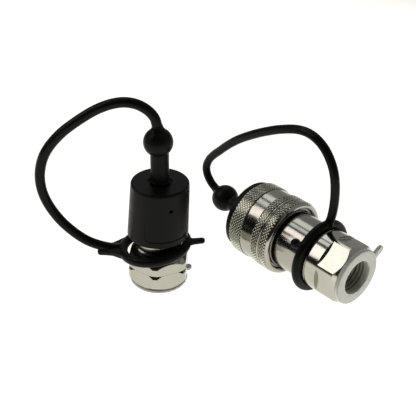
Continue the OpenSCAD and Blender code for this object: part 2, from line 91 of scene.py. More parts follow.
def make_camera():
    """Camera at the photograph's viewing angle."""
    turn, pitch, roll = math.radians(47.084), math.radians(31.894), math.radians(2.2587)
    data = bpy.data.cameras.new("camera")
    data.lens = 70.89
    data.sensor_width = 36
    data.clip_start = 0.01
    data.clip_end = 20
    camera = bpy.data.objects.new("camera", data)
    place = Matrix.Translation((0.24945, -0.20117, 0.23922))
    aim = Matrix.Rotation(turn, 4, "Z") @ Matrix.Rotation(math.pi / 2 - pitch, 4, "X")
    camera.matrix_world = place @ aim @ Matrix.Rotation(roll, 4, "Z")
    bpy.context.scene.collection.objects.link(camera)
    bpy.context.scene.camera = camera


make_camera()


# ---------------------------------------------------------------------------------------
# Mesh tools
# ---------------------------------------------------------------------------------------

class Shape:
    """Vertices and faces in millimetres, gathered from several surfaces."""

    def __init__(self):
        self.points = []
        self.faces = []

    def add(self, points, faces):
        start = len(self.points)
        self.points.extend([tuple(p) for p in points])
        self.faces.extend([tuple(start + i for i in f) for f in faces])
        return self

    def moved(self, matrix):
        """The same shape, placed with a matrix in millimetres."""
        m = np.array(matrix)
        pts = np.array(self.points, float)
        self.points = [tuple(p) for p in pts @ m[:3, :3].T + m[:3, 3]]
        return self

    def object(self, name, sharp=30):
        mesh = bpy.data.meshes.new(name)
        mesh.from_pydata([Vector(p) * MM for p in self.points], [], self.faces)
        mesh.validate()
        mesh.shade_smooth()
        if sharp:
            mesh.set_sharp_from_angle(angle=math.radians(sharp))
        obj = bpy.data.objects.new(name, mesh)
        bpy.context.scene.collection.objects.link(obj)
        return obj


def grid_faces(rows, columns, closed_rows=False):
    """Quads over rings of points: each ring is closed, and closed_rows joins the last to the first."""
    faces = []
    for i in range(rows if closed_rows else rows - 1):
        a, b = i * columns, (i + 1) % rows * columns
        for k in range(columns):
            n = (k + 1) % columns
            faces.append((a + k, a + n, b + n, b + k))
    return faces


def rounded(outline, steps=5):
    """A polyline whose corners (r, z, radius) are rounded off with arcs."""
    points = []
    count = len(outline)
    for i, corner in enumerate(outline):
        here = np.array(corner[:2], float)
        radius = corner[2] if len(corner) > 2 else 0
        if not radius:
            points.append(tuple(here))
            continue
        before = np.array(outline[i - 1][:2], float) - here
        after = np.array(outline[(i + 1) % count][:2], float) - here
        room = 0.49 * min(np.linalg.norm(before), np.linalg.norm(after))
        before, after = before / np.linalg.norm(before), after / np.linalg.norm(after)
        half = math.acos(max(-1, min(1, before @ after))) / 2
        back = min(radius / math.tan(half), room)
        bow = back * math.tan(half)
        centre = here + (before + after) / np.linalg.norm(before + after) * bow / math.sin(half)
        a, b = here + before * back - centre, here + after * back - centre
        sweep = math.atan2(a[0] * b[1] - a[1] * b[0], a @ b)
        for k in range(steps + 1):
            t = sweep * k / steps
            points.append((centre[0] + a[0] * math.cos(t) - a[1] * math.sin(t),
                           centre[1] + a[0] * math.sin(t) + a[1] * math.cos(t)))
    return points


def turned(outline, steps=128, closed=True):
    """A shape turned round z from a list of (r, z) points."""
    points = []
    for r, z in outline:
        for k in range(steps):
            a = TAU * k / steps
            points.append((max(r, 1e-4) * math.cos(a), max(r, 1e-4) * math.sin(a), z))
    return Shape().add(points, grid_faces(len(outline), steps, closed))


def ball(radius, centre=(0, 0, 0), steps=48):
    rings = steps // 2
    outline = [(radius * math.sin(math.pi * i / rings), -radius * math.cos(math.pi * i / rings))
               for i in range(rings + 1)]
    return turned(outline, steps, closed=False).moved(Matrix.Translation(centre))


def ring(mean_r, wire_r, around=160, sides=28, tall=1.0):
    outline = [(mean_r + wire_r * math.cos(TAU * i / sides), tall * wire_r * math.sin(TAU * i / sides))
               for i in range(sides)]
    return turned(outline, around)


def join(*shapes):
    whole = Shape()
    for s in shapes:
        whole.add(s.points, s.faces)
    return whole


def smooth_path(route, per_span=5):
    """Catmull-Rom curve through a route's points."""
    pts = [np.array(p, float) for p in route]
    pts = [2 * pts[0] - pts[1]] + pts + [2 * pts[-1] - pts[-2]]
    path = []
    for i in range(1, len(pts) - 2):
        p0, p1, p2, p3 = pts[i - 1:i + 3]
        for k in range(per_span):
            t = k / per_span
            path.append(0.5 * (2 * p1 + (p2 - p0) * t + (2 * p0 - 5 * p1 + 4 * p2 - p3) * t * t
                               + (3 * p1 - p0 - 3 * p2 + p3) * t ** 3))
    path.append(pts[-2])
    return path


def tube(path, normal, radii, sides=28, seam=0.0):
    """A tube along a flat path. normal is square to the path's plane, and seam is the height of
    the mould's parting line, which lies in that plane."""
    points = []
    last = len(path) - 1
    normal = np.array(normal, float)
    for i, p in enumerate(path):
        ahead = path[min(i + 1, last)] - path[max(i - 1, 0)]
        ahead = ahead / np.linalg.norm(ahead)
        across = np.cross(ahead, normal)
        for k in range(sides):
            a = TAU * k / sides
            line = seam if k in (0, sides // 2) else 0
            r = radii[i] + line
            points.append(p + r * (math.cos(a) * across + math.sin(a) * normal))
    shape = Shape().add(points, grid_faces(len(path), sides))
    shape.faces.append(tuple(reversed(range(sides))))
    shape.faces.append(tuple(last * sides + k for k in range(sides)))
    return shape


def blended(shape, name, voxel=0.3, smoothing=8):
    """The shape remeshed into one skin, with its inner corners softened as a moulding's are."""
    obj = shape.object(name, sharp=0)
    remesh = obj.modifiers.new("remesh", "REMESH")
    remesh.mode = "VOXEL"
    remesh.voxel_size = voxel * MM
    soften = obj.modifiers.new("soften", "SMOOTH")
    soften.factor = 0.5
    soften.iterations = smoothing
    bpy.context.view_layer.update()
    skin = bpy.data.meshes.new_from_object(obj.evaluated_get(bpy.context.evaluated_depsgraph_get()))
    obj.modifiers.clear()
    obj.data = skin
    skin.name = name
    skin.shade_smooth()
    return obj


# ---------------------------------------------------------------------------------------
# Materials
# ---------------------------------------------------------------------------------------

class Nodes:
    """Short ways to add nodes to a material."""

    def __init__(self, name):
        self.material = bpy.data.materials.new(name)
        self.material.use_nodes = True
        self.tree = self.material.node_tree
        self.tree.nodes.clear()
        self.output = self.add("ShaderNodeOutputMaterial")
        self.shader = self.add("ShaderNodeBsdfPrincipled")
        self.link(self.shader, "BSDF", self.output, "Surface")
        self.coordinates = self.add("ShaderNodeTexCoord")

    def add(self, kind, **values):
        node = self.tree.nodes.new(kind)
        for key, value in values.items():
            if hasattr(node, key):
                setattr(node, key, value)
            else:
                node.inputs[key].default_value = value
        return node

    def link(self, a, out, b, into):
        self.tree.links.new(a.outputs[out], b.inputs[into])

    def noise(self, scale, detail=3, stretch=None):
        """Noise in object space; scale is in cells for each millimetre."""
        node = self.add("ShaderNodeTexNoise")
        node.inputs["Scale"].default_value = scale / MM
        node.inputs["Detail"].default_value = detail
        if stretch:
            mapping = self.add("ShaderNodeMapping")
            mapping.inputs["Scale"].default_value = stretch
            self.link(self.coordinates, "Object", mapping, "Vector")
            self.link(mapping, "Vector", node, "Vector")
        else:
            self.link(self.coordinates, "Object", node, "Vector")
        return node

    def ramp(self, source, out, stops):
        node = self.add("ShaderNodeValToRGB")
        elements = node.color_ramp.elements
        while len(elements) < len(stops):
            elements.new(0.5)
        for element, (place, colour) in zip(elements, stops):
            element.position = place
            element.color = (*colour, 1)
        self.link(source, out, node, "Fac")
        return node

    def range(self, source, out, low, high, to_low, to_high):
        node = self.add("ShaderNodeMapRange")
        for key, value in (("From Min", low), ("From Max", high), ("To Min", to_low), ("To Max", to_high)):
            node.inputs[key].default_value = value
        self.link(source, out, node, "Value")
        return node

    def darkened(self, source, out, factor, factor_out, colour):
        """A colour multiplied by another, as far as the factor says."""
        node = self.add("ShaderNodeMix", data_type="RGBA", blend_type="MULTIPLY")
        node.inputs["B"].default_value = (*colour, 1)
        self.link(factor, factor_out, node, "Factor")
        self.link(source, out, node, "A")
        return node

    def bump(self, source, out, height, strength=1.0, normal=None):
        node = self.add("ShaderNodeBump")
        node.inputs["Strength"].default_value = strength
        node.inputs["Distance"].default_value = height * MM
        self.link(source, out, node, "Height")
        if normal:
            self.link(normal, "Normal", node, "Normal")
        return node

    def soft_edges(self, radius):
        node = self.add("ShaderNodeBevel", samples=4)
        node.inputs["Radius"].default_value = radius * MM
        return node


ZINC_TINTS = [(0.3, (0.395, 0.392, 0.33)), (0.52, (0.42, 0.41, 0.35)), (0.72, (0.43, 0.41, 0.37))]


def zinc_nodes(name, axis, roughness=0.16, edge=0.25, lines=0.5, shade=1.0):
    """Nodes of bright zinc plate on turned steel, and the one that gives its colour. axis is the one
    that the part was turned on: fine lines run round it."""
    n = Nodes(name)
    n.shader.inputs["Metallic"].default_value = 1.0
    along = {"X": (1, 0.04, 0.04), "Z": (0.04, 0.04, 1)}[axis]
    turning = n.noise(6, 2, along)
    tint = n.noise(0.09, 2)
    colour = n.ramp(tint, "Fac", [(spot, tuple(c * shade for c in rgb)) for spot, rgb in ZINC_TINTS])
    n.link(colour, "Color", n.shader, "Base Color")
    smear = n.noise(0.8, 4)
    rough = n.range(smear, "Fac", 0.3, 0.75, roughness * 0.8, roughness * 1.35)
    n.link(rough, "Result", n.shader, "Roughness")
    edges = n.soft_edges(edge)
    grooves = n.bump(turning, "Fac", 0.004 * lines, 1.0, edges)
    pits = n.noise(2.2, 5)
    pitted = n.bump(pits, "Fac", 0.0015, 0.5, grooves)
    n.link(pitted, "Normal", n.shader, "Normal")
    return n, colour


def zinc(name, axis, roughness, shade=1.0):
    return zinc_nodes(name, axis, roughness, shade=shade)[0].material


# The sleeve's length, and where its three knurled bands start and end.
SLEEVE_LENGTH = 26.2
KNURL_BANDS = [(0.5, 7.8), (15.3, 18.95), (20.85, 24.25)]
GROOVE_R, CREST_R = 18.6, 18.85


def knurled_zinc(name):
    """The same plate on the release sleeve, with a painted highlight that lifts the colour of the knurled
    bands, and painted shade deep in the knurl's grooves.
    """
    n, plate_colour = zinc_nodes(name, "X", roughness=0.18, edge=0.05, lines=0.3, shade=0.9)
    across = n.add("ShaderNodeMapping")
    across.inputs["Location"].default_value = (0, -FEMALE_Y * MM, -FEMALE_Z * MM)
    across.inputs["Scale"].default_value = (0, 1, 1)
    n.link(n.coordinates, "Object", across, "Vector")
    radius = n.add("ShaderNodeVectorMath", operation="LENGTH")
    n.link(across, "Vector", radius, 0)
    # Painted shade: the colour darkens with depth into the knurl's grooves, from the crest radius down to
    # the groove radius.
    dark = n.range(radius, "Value", GROOVE_R * MM, CREST_R * MM, 0.9, 0.0)
    apart = n.add("ShaderNodeSeparateXYZ")
    n.link(n.coordinates, "Object", apart, 0)
    along = n.range(apart, "X", FEMALE_X * MM, (FEMALE_X + SLEEVE_LENGTH) * MM, 0.0, 1.0)
    stops = [(0.0, (0, 0, 0))]
    for start, end in KNURL_BANDS:
        stops += [(start / SLEEVE_LENGTH, (1, 1, 1)), (end / SLEEVE_LENGTH, (0, 0, 0))]
    bands = n.ramp(along, "Result", stops)
    bands.color_ramp.interpolation = "CONSTANT"
    groove_shade_mask = n.add("ShaderNodeMath", operation="MULTIPLY")
    n.link(dark, "Result", groove_shade_mask, 0)
    n.link(bands, "Color", groove_shade_mask, 1)
    # Painted highlight: the knurled bands' colour is lifted so that their tops read bright against the
    # painted shade in the grooves.
    knurl_painted_highlight = n.darkened(plate_colour, "Color", bands, "Color", (1.6, 1.6, 1.55))
    deep = n.darkened(knurl_painted_highlight, "Result", groove_shade_mask, "Value", (0.07, 0.07, 0.06))
    n.link(deep, "Result", n.shader, "Base Color")
    return n.material


def steel(name, colour, roughness):
    n = Nodes(name)
    n.shader.inputs["Metallic"].default_value = 1.0
    marks = n.noise(1.5, 4)
    dark = tuple(c * 0.82 for c in colour)
    tone = n.ramp(marks, "Fac", [(0.3, dark), (0.7, colour)])
    n.link(tone, "Color", n.shader, "Base Color")
    rough = n.range(marks, "Fac", 0.3, 0.7, roughness * 0.8, roughness * 1.3)
    n.link(rough, "Result", n.shader, "Roughness")
    skin = n.bump(marks, "Fac", 0.004)
    n.link(skin, "Normal", n.shader, "Normal")
    return n.material


def black_rubber(name, roughness=0.38):
    """Moulded black vinyl: a fine grain and dull patches."""
    n = Nodes(name)
    patches = n.noise(0.25, 4)
    tone = n.ramp(patches, "Fac", [(0.3, (0.0028, 0.0029, 0.0026)), (0.7, (0.0048, 0.0049, 0.0044))])
    n.link(tone, "Color", n.shader, "Base Color")
    rough = n.range(patches, "Fac", 0.3, 0.7, roughness * 0.85, roughness * 1.2)
    n.link(rough, "Result", n.shader, "Roughness")
    n.shader.inputs["Specular IOR Level"].default_value = 0.09
    fine = n.noise(9, 3)
    waves = n.noise(0.5, 2)
    skin = n.bump(fine, "Fac", 0.012, 0.7)
    flow = n.bump(waves, "Fac", 0.06, 0.6, skin)
    n.link(flow, "Normal", n.shader, "Normal")
    return n.material


THREAD_PITCH = 1.8


def milky_plastic(name, axis, rim, floor):
    """Natural polyethylene, which lets light through. Along the axis, from the rim to the cup's floor, the
    colour goes over to painted shade, with the thread behind the wall painted on in turns as if seen
    through it."""
    n = Nodes(name)
    clouds = n.noise(0.3, 3)
    tone = n.ramp(clouds, "Fac", [(0.3, (0.47, 0.475, 0.425)), (0.7, (0.54, 0.54, 0.485))])
    apart = n.add("ShaderNodeSeparateXYZ")
    n.link(n.coordinates, "Object", apart, 0)
    deep = n.range(apart, axis, rim * MM, floor * MM, 0.0, 1.0)
    turns = n.add("ShaderNodeTexWave", wave_type="BANDS", bands_direction=axis)
    turns.inputs["Scale"].default_value = TAU / (20 * THREAD_PITCH * MM)
    turns.inputs["Distortion"].default_value = 1.5
    turns.inputs["Detail Scale"].default_value = 60
    n.link(n.coordinates, "Object", turns, "Vector")
    # Painted shade with the thread's turns: darker and lighter bands stand in for the dim cup and the
    # thread seen through its wall.
    painted_thread_shade = n.ramp(turns, "Fac", [(0.25, (0.10, 0.105, 0.075)), (0.75, (0.36, 0.37, 0.30))])
    mix = n.add("ShaderNodeMix", data_type="RGBA")
    n.link(deep, "Result", mix, "Factor")
    n.link(tone, "Color", mix, "A")
    n.link(painted_thread_shade, "Color", mix, "B")
    n.link(mix, "Result", n.shader, "Base Color")
    n.shader.inputs["Roughness"].default_value = 0.34
    n.shader.inputs["Transmission Weight"].default_value = 0.12
    n.shader.inputs["IOR"].default_value = 1.3
    skin = n.bump(n.noise(3, 3), "Fac", 0.02, 0.6)
    n.link(skin, "Normal", n.shader, "Normal")
    return n.material


def seal_material(name, low, high, roughness):
    """Rubber or PTFE with slightly uneven colour and skin."""
    n = Nodes(name)
    marks = n.noise(1.2, 3)
    tone = n.ramp(marks, "Fac", [(0.3, low), (0.7, high)])
    n.link(tone, "Color", n.shader, "Base Color")
    n.shader.inputs["Roughness"].default_value = roughness
    skin = n.bump(marks, "Fac", 0.01)
    n.link(skin, "Normal", n.shader, "Normal")
    return n.material


ZINC_FEMALE = zinc("zinc_turned_on_x", "X", roughness=0.13)
ZINC_BODY = zinc("zinc_body", "X", roughness=0.15, shade=0.84)
ZINC_MALE = zinc("zinc_turned_on_z", "Z", roughness=0.13)
ZINC_KNURL = knurled_zinc("zinc_knurl")
# Dark steel for the springs, spring washer and snap rings; its darkness is partly painted shade for the
# gap inside the sleeve.
SPRING = steel("spring_steel", (0.24, 0.24, 0.23), 0.3)
BALL = steel("ball_steel", (0.7, 0.7, 0.7), 0.08)
COVER = black_rubber("cover_black")
CORD = black_rubber("strap_black", roughness=0.33)
PORT_END = cad("female_adapter")[1][0]
MALE_END = cad("male_adapter")[0][2]
RIM_OUT, CUP_IN = 0.8, 1.5
MILKY_FEMALE = milky_plastic("plug_milky_x", "X", PORT_END + RIM_OUT, PORT_END - CUP_IN)
MILKY_MALE = milky_plastic("plug_milky_z", "Z", MALE_END - RIM_OUT, MALE_END + CUP_IN)
SEAL = seal_material("seal_black", (0.007, 0.007, 0.0077), (0.01, 0.01, 0.011), 0.5)
PTFE = seal_material("backup_white", (0.78, 0.78, 0.76), (0.88, 0.88, 0.86), 0.42)


def finish_piece(obj, material, body, node):
    """Gives a piece its material, body and slot, and hides the CAD node it stands for. A piece with no
    body is left without one."""
    obj.data.materials.clear()
    obj.data.materials.append(material)
    if body:
        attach(obj, body)
    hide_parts(node)
    return obj


# ---------------------------------------------------------------------------------------
# Straps, the two free cords
# ---------------------------------------------------------------------------------------

PLUG_STRAP_ROUTE = [
    (-29.5, 21.5), (-33.5, 23.5), (-36.8, 27), (-37.8, 31.5), (-35.8, 36.5),
    (-32.3, 40.8), (-28.5, 44.5), (-25, 48), (-21.2, 51.5), (-17.3, 54.8),
    (-13.3, 57.8), (-9, 60.7), (-4.8, 63.4), (-0.5, 66), (4, 68.5), (8.7, 71),
    (13.5, 73.2), (18.4, 75.2), (23.4, 76.6), (28.5, 77), (33.3, 76), (37.8, 73.6),
    (41.4, 70), (44.2, 65.6), (45.9, 60.8), (46.6, 55.6), (46.6, 50.4),
    (46.1, 45.4), (45.1, 40.4), (43.6, 35.8)
]
CAP_STRAP_ROUTE = [
    (-0.75, 80.2), (-2, 84.8), (-5, 88.4), (-9.5, 90.9), (-14.5, 91.7), (-19.6, 90.9),
    (-24.6, 89), (-29.3, 86.4), (-33.6, 83.4), (-37.8, 80.2), (-41.8, 76.8),
    (-45.4, 73), (-48.6, 68.9), (-51.2, 64.4), (-52.9, 59.5), (-53.8, 54.4),
    (-53.8, 49.2), (-52.9, 44.1), (-51.1, 39.1), (-48.6, 34.4), (-45.6, 30),
    (-42, 26), (-38, 22.4), (-33.6, 19.4), (-28.7, 17.4), (-23.5, 16.2), (-18, 15.9)
]
PLUG_STRAP_SWING = 2.8
PLUG_STRAP_D = 4.2
CAP_STRAP_D = 4.6


def strap(name, route, diameter, place, node):
    """One strap: a solid vinyl cord between the toggle and its ring."""
    path = smooth_path(route)
    shape = tube(path, (0, 1, 0), [diameter / 2] * len(path), seam=0.07).moved(place)
    obj = shape.object(name, sharp=50)
    finish_piece(obj, CORD, None, node)
    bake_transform(obj)


# The plug strap's last points swing sideways, to the far side of its ring.
SWINGS = [PLUG_STRAP_SWING * (max(0, i + 6 - len(PLUG_STRAP_ROUTE)) / 5) ** 1.5
          for i in range(len(PLUG_STRAP_ROUTE))]
PLUG_STRAP_PATH = [(s, y, z) for (s, z), y in zip(PLUG_STRAP_ROUTE, SWINGS)]
strap("plug_strap_cord", PLUG_STRAP_PATH, PLUG_STRAP_D, Matrix.Translation((FEMALE_X, FEMALE_Y, 0)),
      "plug_strap")
strap("cap_strap_cord", [(x, 0, z) for x, z in CAP_STRAP_ROUTE], CAP_STRAP_D, LANYARD,
      "cap_strap")


# ---------------------------------------------------------------------------------------
# Release sleeve
# ---------------------------------------------------------------------------------------

KNURLS_AROUND = 66
KNURL_STEPS = 8
KNURL_DEPTH = 0.45
KNURL_R = 19.0
KNURL_ANGLE = math.radians(47)
KNURL_ROW = TAU * KNURL_R / KNURLS_AROUND / math.tan(KNURL_ANGLE) / KNURL_STEPS
KNURL_TOP = 0.55                # share of the full diamond's height that is left flat


def saw(i):
    """Height of one family of knurl grooves at step i: 0 in a groove, 1 between two."""
    return abs(2 * (i % KNURL_STEPS) / KNURL_STEPS - 1)


def sleeve_rows():
    """Rows (s, r, knurled) of the sleeve's outside, from the front to the rear."""
    rows = [(0.0, 17.6, False), (0.0, 18.0, False), (0.25, 18.35, False)]

    def knurl(start, end, r):
        count = round((end - start) / KNURL_ROW)
        for i in range(count + 1):
            near = min(i, count - i)
            top = r - max(0, 1 - near) * 0.3
            rows.append((start + (end - start) * i / count, top, True))

    knurl(0.6, 7.7, KNURL_R)
    rows.extend([(8.05, 18.5, False), (8.5, 18.42, False), (8.65, 18.42, False), (11.5, 18.46, False),
                 (14.6, 18.42, False), (14.9, 18.42, False), (15.2, 18.5, False)])
    knurl(15.35, 18.9, 18.98)
    rows.extend([(19.15, 18.78, False), (19.3, 18.84, False), (19.75, 18.84, False),
                 (19.95, 18.6, False), (20.15, 18.1, False), (20.45, 18.1, False), (20.7, 18.6, False)])
    knurl(20.9, 24.2, KNURL_R)
    for i in range(1, 9):
        t = math.pi / 2 * i / 8
        rows.append((24.3 + 1.75 * math.sin(t), 17.3 + 1.4 * math.cos(t), False))
    rows.extend([(26.18, 17.05, False), (26.2, 16.9, False)])
    return rows


def knurled_sleeve():
    columns = KNURLS_AROUND * KNURL_STEPS
    rows = sleeve_rows()
    points = []
    step = 0
    for s, r, knurled in rows:
        step = step + 1 if knurled else 0
        for k in range(columns):
            depth = 0
            if knurled:
                height = min(saw(k + step), saw(k - step), KNURL_TOP) / KNURL_TOP
                depth = KNURL_DEPTH * (1 - height)
            a = TAU * k / columns
            points.append(((r - depth) * math.cos(a), (r - depth) * math.sin(a), s))
    outside = Shape().add(points, grid_faces(len(rows), columns))
    inside = turned(rounded([
        (16.9, 26.2), (16.4, 25.8), (16.4, 13.5), (13.87, 13.5), (13.87, 11.2), (15.4, 5.1),
        (15.4, 3.0), (13.87, 3.0), (13.87, 1.8), (15.4, 1.8), (15.4, 0.3), (15.9, 0, 0.2), (17.6, 0)
    ]), 160, closed=False)
    return join(outside, inside).moved(FEMALE).object("knurled_sleeve", sharp=24)


finish_piece(knurled_sleeve(), ZINC_KNURL, "sleeve", "release_sleeve")


# ---------------------------------------------------------------------------------------
# Coil springs
# ---------------------------------------------------------------------------------------

def coil_spring(mean_r, wire, start, end, turns, sides=12, steps=32):
    """A round wire wound along Z from start to end."""
    points = []
    last = round(turns * steps)
    low, high = start + wire / 2, end - wire / 2
    for i in range(last + 1):
        a = TAU * turns * i / last
        z = low + (high - low) * i / last
        for k in range(sides):
            b = -TAU * k / sides
            r = mean_r + wire / 2 * math.cos(b)
            points.append((r * math.cos(a), r * math.sin(a), z + wire / 2 * math.sin(b)))
    shape = Shape().add(points, grid_faces(last + 1, sides))
    shape.faces.append(tuple(reversed(range(sides))))
    shape.faces.append(tuple(last * sides + k for k in range(sides)))
    return shape


def add_spring(node, body, place, mean_r, wire, fixed, free, turns):
    """A spring along Z of its half's frame, wound between its fixed and free ends."""
    low, high = min(fixed, free), max(fixed, free)
    shape = coil_spring(mean_r, wire, low, high, turns).moved(place)
    spring = finish_piece(shape.object(f"{node}_coil", sharp=40), SPRING, body, node)
    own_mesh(spring)


add_spring("sleeve_spring", "female", FEMALE, 15.1, 1.1, 22.86, 13.6, 2.5)
add_spring("female_valve_spring", "female", FEMALE, 4.5, 0.9, 38.7, 30.9, 3)
add_spring("male_valve_spring", "male", Matrix.Identity(4), 3.7, 0.9, 18.05, 42.9, 8)


# ---------------------------------------------------------------------------------------
# Port plugs
# ---------------------------------------------------------------------------------------

def round_end(x, radius, count, steps=6):
    """The first points of a half circle that ends a tab, from its +y side."""
    angles = [math.pi / 2 * (1 - i / steps) for i in range(count)]
    return [(x + radius * math.cos(t), radius * math.sin(t)) for t in angles]


def port_plug(tab_angle, tab_r):
    """Push-in plug with a soft rim, an open cup, two sealing ribs and a pull tab."""
    cup = turned(rounded([
        (0.0, 6.8), (9.4, 6.8, 1.0), (9.4, 4.6, 0.2), (10.55, 4.2, 0.3), (10.55, 3.5, 0.3),
        (9.4, 3.1, 0.2), (9.4, 2.3, 0.2), (10.55, 1.9, 0.3), (10.55, 1.2, 0.3), (9.4, 0.8, 0.2),
        (9.4, 0.05), (13.8, 0.05, 0.6), (13.8, -2.0, 0.9), (8.3, -2.0, 0.7), (7.7, 6.0, 0.9), (0.0, 6.0)
    ], 6), 128, closed=False)
    c, s = math.cos(math.radians(tab_angle)), math.sin(math.radians(tab_angle))
    points = []
    half, mid, thick = 1.75, -1.05, 0.85
    outline = [(12.8, half + 0.9), (13.6, half + 0.35), (14.6, half)]
    outline += round_end(tab_r - half, half, 7)
    outline += [(x, -y) for x, y in reversed(outline[:-1])]
    layers = [(-thick, 0.25), (-thick + 0.25, 0.0), (thick - 0.25, 0.0), (thick, 0.25)]
    for height, inset in layers:
        for x, y in outline:
            px, py = x - inset * 0.5, y * (1 - inset / half)
            points.append((px * c - py * s, px * s + py * c, mid + height))
    n = len(outline)
    faces = grid_faces(len(layers), n)
    faces.append(tuple(reversed(range(n))))
    faces.append(tuple((len(layers) - 1) * n + k for k in range(n)))
    return join(cup, Shape().add(points, faces))


# The female port plug is the mirror image, so its faces are turned round.
female_port = port_plug(120, 19.3).moved(Matrix.Scale(-1, 4, (0, 0, 1)))
female_port.moved(Matrix.Translation((0, 0, PORT_END - FEMALE_X)))
female_port.faces = [tuple(reversed(f)) for f in female_port.faces]
finish_piece(female_port.moved(FEMALE).object("female_port_plug_moulded", sharp=40), MILKY_FEMALE,
             "female_port_plug", "female_port_plug")
male_port = port_plug(76, 17.6).moved(Matrix.Translation((0, 0, MALE_END)))
finish_piece(male_port.object("male_port_plug_moulded", sharp=40), MILKY_MALE, "male_port_plug",
             "male_port_plug")


# ---------------------------------------------------------------------------------------
# Dust plug and its lanyard
# ---------------------------------------------------------------------------------------

def dust_plug():
    outline = rounded([
        (7.6, 7.4, 0.4), (7.6, -3.0), (4.3, -3.0), (4.3, -10.4, 0.2), (5.4, -10.4, 0.4), (6.2, -9.9, 0.6),
        (8.0, -9.0, 2.0), (11.6, -7.2, 4.0), (15.0, -5.0, 3.0), (16.9, -3.6, 0.8), (17.6, -3.2, 0.5),
        (17.6, -0.05, 0.5), (10.27, -0.05), (10.27, 2.4, 0.2), (9.8, 2.7), (9.8, 4.2), (10.27, 4.5, 0.2),
        (10.27, 5.8, 0.4), (9.2, 7.4, 0.4)
    ])
    return turned(outline).moved(FEMALE).object("dust_plug_moulded", sharp=35)


def toggle(head, ball_at, neck, neck_d, side, radius=6.7):
    """Lanyard end along -z or z: flat head, stem, ball, and a neck that flares towards the strap.
    side is how far the ball hangs off the axis."""
    sign = 1 if ball_at > head else -1
    reach = abs(ball_at - head)
    body = turned([(r, head + sign * z) for r, z in rounded([
        (0.0, 0.0), (6.0, 0.0, 0.3), (6.0, 0.9, 0.3), (4.2, 0.9, 0.3), (4.2, reach), (0, reach)
    ])], 64, closed=False)
    centre = np.array([side, 0, ball_at])
    towards = np.array(neck, float) - centre
    length = np.linalg.norm(towards)
    towards = towards / length
    steps = np.linspace(5.0, length + 1.6, 16)
    flare = [neck_d / 2 + (0.05 + 1.15 * max(0, (8.3 - t) / 2.4) ** 2 if t > 5.9 else 1.2) for t in steps]
    spout = tube([centre + towards * t for t in steps], (0, 1, 0), flare, 32)
    return join(body, ball(radius, centre, 56), spout)


finish_piece(dust_plug(), COVER, "dust_plug", "dust_plug")

PLUG_BALL = -22.6
PLUG_BALL_R = 6.85
plug_neck = (FEMALE_Z - PLUG_STRAP_ROUTE[0][1], 0, PLUG_STRAP_ROUTE[0][0])
plug_end = toggle(-2.0, PLUG_BALL, plug_neck, PLUG_STRAP_D, -0.3, PLUG_BALL_R).moved(FEMALE)
finish_piece(blended(plug_end, "plug_toggle_moulded", 0.28, 6), COVER, "plug_toggle",
             "plug_toggle")


def plug_ring():
    """Lanyard ring with a nub, and a root for the strap."""
    hoop = ring(16.1, 2.3).moved(Matrix.Translation((0, 0, 43)))
    turn = Matrix.Rotation(math.radians(-90 - 37), 4, "Z")
    nub = tube([np.array((16.9, 0, z)) for z in np.linspace(39, 43, 6)], (0, 1, 0), [1.9] * 6, 24)
    knob = join(nub, ball(2.45, (16.9, 0, 38.7), 32)).moved(turn)
    path = [np.array((FEMALE_Z - z, y, s)) for s, y, z in PLUG_STRAP_PATH[-2:]]
    steps = np.linspace(0.35, 1.15, 12)
    root = tube([path[0] + (path[1] - path[0]) * t for t in steps], (0, 1, 0),
                [2.14] * len(steps), 28)
    return join(hoop, knob, root).moved(FEMALE)


finish_piece(blended(plug_ring(), "plug_ring_moulded", 0.3, 5), COVER, "female",
             "plug_ring")


# ---------------------------------------------------------------------------------------
# Dust cap and its lanyard
# ---------------------------------------------------------------------------------------

CAP_LOW, CAP_TOP = cad("dust_cap")[0][2], cad("dust_cap")[1][2]
# The cap sits askew on the nose, and the stem springs back to the other side.
CAP_LEAN = [(0, -1.0), (CAP_LOW, -0.5), (CAP_TOP, 0.5), (100, 1.0)]
STEM_LEAN = [(0, 0.5), (CAP_TOP, 0.5), (67, 0.1), (100, 0.0)]


def leaned(shape, lean):
    """The shape pushed along x by an amount that depends on its height."""
    heights, pushes = zip(*lean)
    shape.points = [(x + float(np.interp(z, heights, pushes)), y, z) for x, y, z in shape.points]
    return shape


def panel_depth(angle, z):
    """Depth of the marks on the cap's side: the groove that frames a plain panel, a round dimple
    over it, and the mould's seam, which stands proud."""
    middle = math.radians(-16.5)
    away = (angle - middle + math.pi) % TAU - math.pi
    x, y = abs(away) * 14, abs(z - 35)
    half_x, half_y, corner = 11.6, 5.7, 2.5
    dx, dy = max(x - half_x + corner, 0), max(y - half_y + corner, 0)
    edge = math.hypot(dx, dy) - corner if dx or dy else max(x - half_x, y - half_y)
    fade = max(0, min(1, (40 - z) / 3))
    spot = math.hypot(away * 13.6, z - 45.1)
    seam = min(abs(angle - LANYARD_TURN), abs(angle - LANYARD_TURN + math.pi)) * 14
    return (0.3 * fade * math.exp(-(edge / 0.26) ** 2) + 1.4 * math.exp(-(spot / 0.72) ** 4)
            - 0.06 * math.exp(-(seam / 0.2) ** 2))


